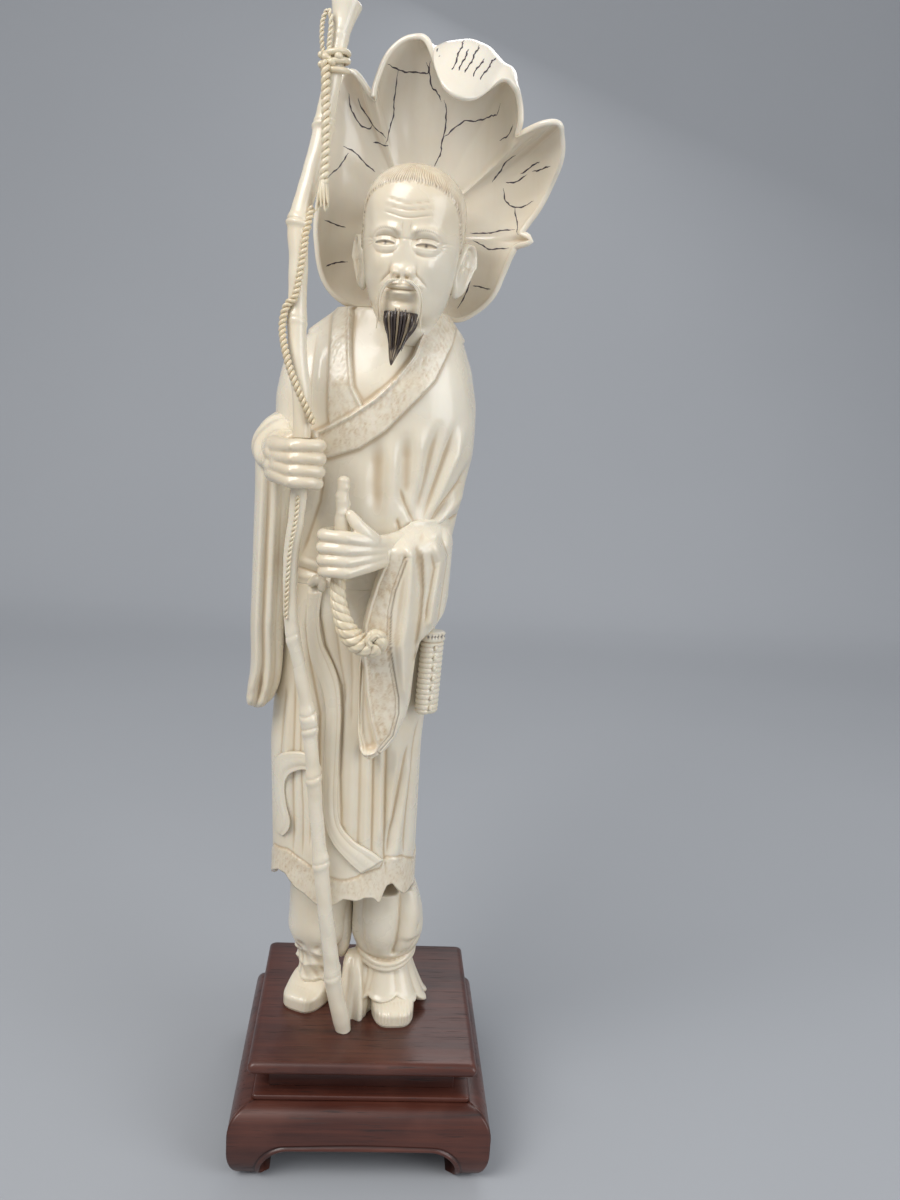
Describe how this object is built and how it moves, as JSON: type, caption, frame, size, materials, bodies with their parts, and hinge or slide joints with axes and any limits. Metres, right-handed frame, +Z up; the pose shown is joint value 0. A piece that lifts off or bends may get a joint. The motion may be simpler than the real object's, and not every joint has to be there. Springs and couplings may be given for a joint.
{
  "type": "okimono carving",
  "caption": "Carved standing figure in a wide-sleeved robe with staff, whisk and lotus leaf hood, built in sections and pegged on a dark hardwood stand that it lifts off.",
  "frame": {"origin": "centre of the stand's footprint, on the surface it stands on", "axes": "+Z up along the figure, -Y is the front that the figure faces, +X is to the viewer's right seen from the front"},
  "size_m": [0.1214, 0.1214, 0.5062],
  "materials": {
    "ivory": "satin",
    "ivory_deep": "satin",
    "ink": "satin",
    "hardwood": "satin",
    "dowel_wood": "matte"
  },
  "bodies": {
    "stand": {"top_board": "hardwood", "waist_block": "hardwood", "ledge_plate": "hardwood", "apron_front": "hardwood", "apron_back": "hardwood", "apron_left": "hardwood", "apron_right": "hardwood", "stand_dowels": "dowel_wood"},
    "figure": {"robe_upper": "ivory", "robe_skirt": "ivory", "waist_dowel": "ivory_deep", "head": "ivory", "beard": "ink", "lotus_leaf": "ivory", "leaf_peg": "ivory_deep", "sleeve_right": "ivory", "hand_right": "ivory", "sleeve_left": "ivory", "hand_left": "ivory", "staff_upper": "ivory", "staff_lower": "ivory", "staff_cord_upper": "ivory_deep", "staff_cord_lower": "ivory_deep", "staff_tassel": "ivory_deep", "whisk_handle": "ivory", "whisk_tuft": "ivory_deep", "hip_basket": "ivory", "sash_ribbon": "ivory", "trouser_left": "ivory", "trouser_right": "ivory", "shoe_left": "ivory", "shoe_right": "ivory", "foot_pegs": "ivory_deep"}
  },
  "joints": [
    {"name": "figure_lift", "type": "slide", "parent": "stand", "child": "figure", "axis": [0, 0, 1], "range_m": [0, 0.012]}
  ]
}
